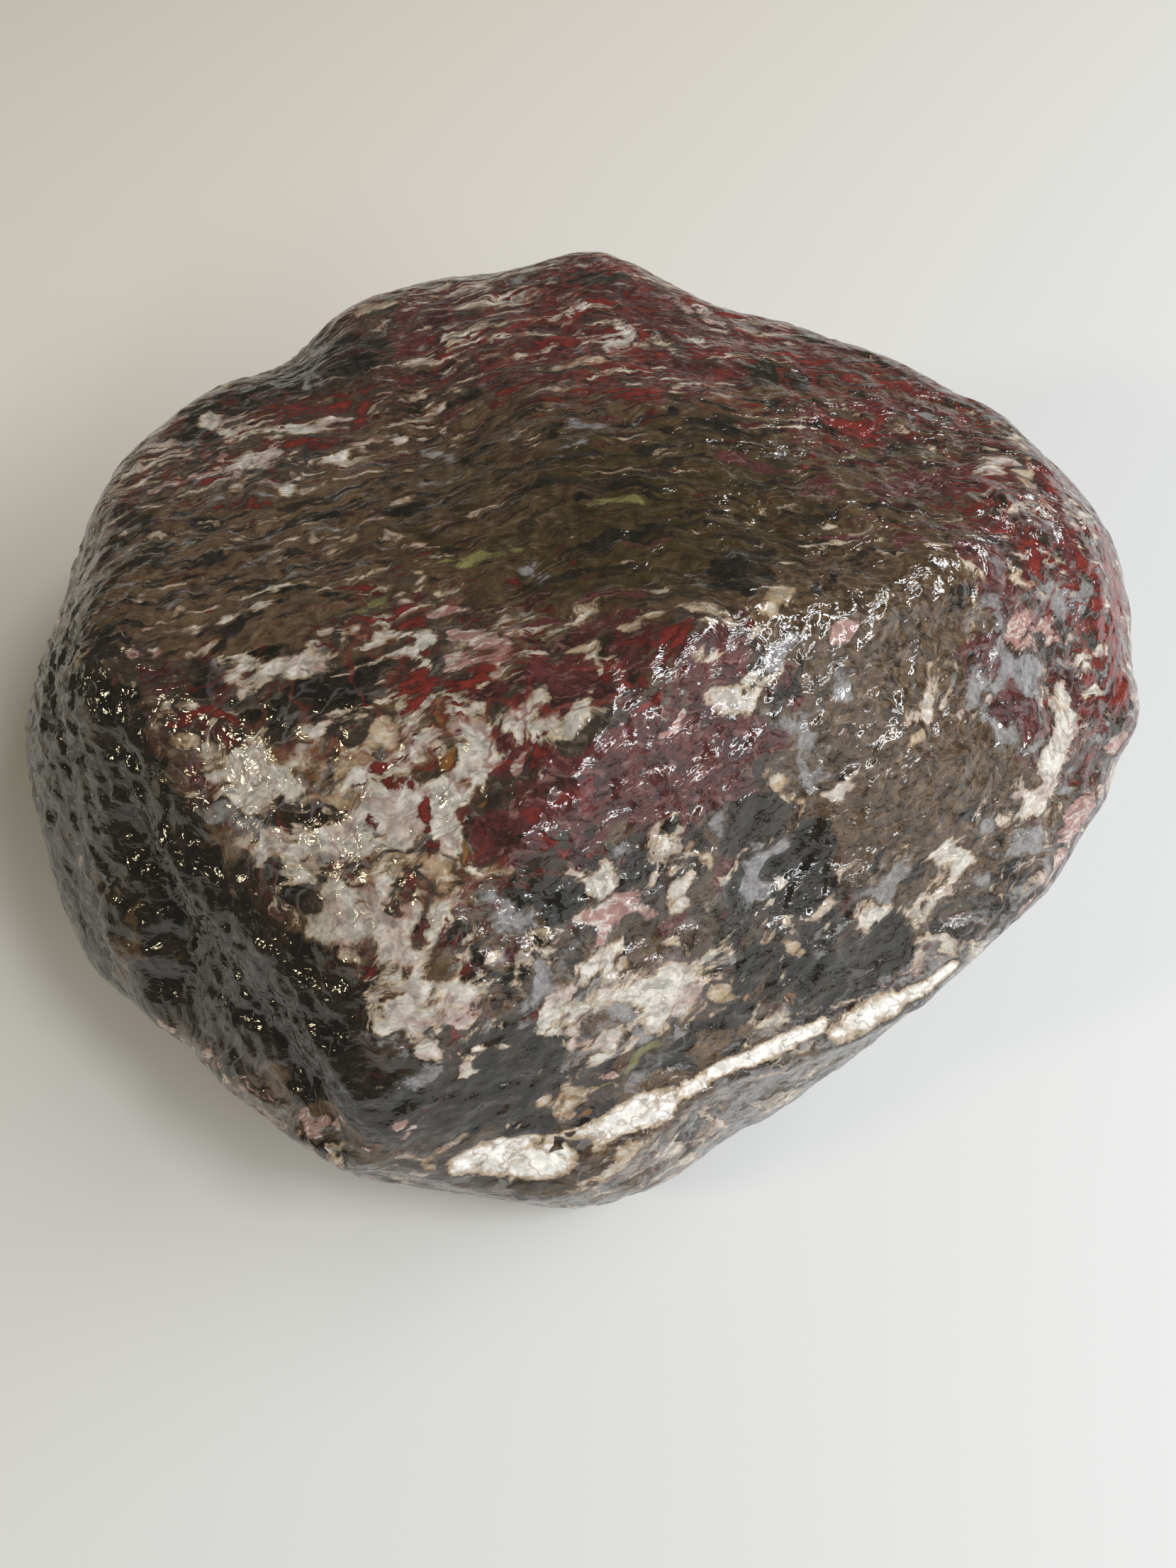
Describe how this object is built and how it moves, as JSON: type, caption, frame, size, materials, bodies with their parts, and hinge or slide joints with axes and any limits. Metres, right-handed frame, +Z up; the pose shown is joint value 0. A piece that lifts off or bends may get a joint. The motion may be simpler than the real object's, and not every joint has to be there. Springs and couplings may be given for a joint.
{
  "type": "raw banded iron formation stone",
  "caption": "Raw water-worn block of banded iron formation: broken faces, rounded ridges, a raised pale quartz vein, clefts and a flat underside to rest on.",
  "frame": {"origin": "on the resting face, under the middle of the stone's outline", "axes": "+Z up, +X along the longest side to the right, +Y towards the back, away from the face with the raised vein"},
  "size_m": [0.2074, 0.1786, 0.0986],
  "materials": {
    "banded_stone": "wet, softly polished, with red jasper, white quartz and dark iron-ore streaks"
  },
  "bodies": {
    "root": {"stone": "banded_stone"}
  },
  "joints": []
}
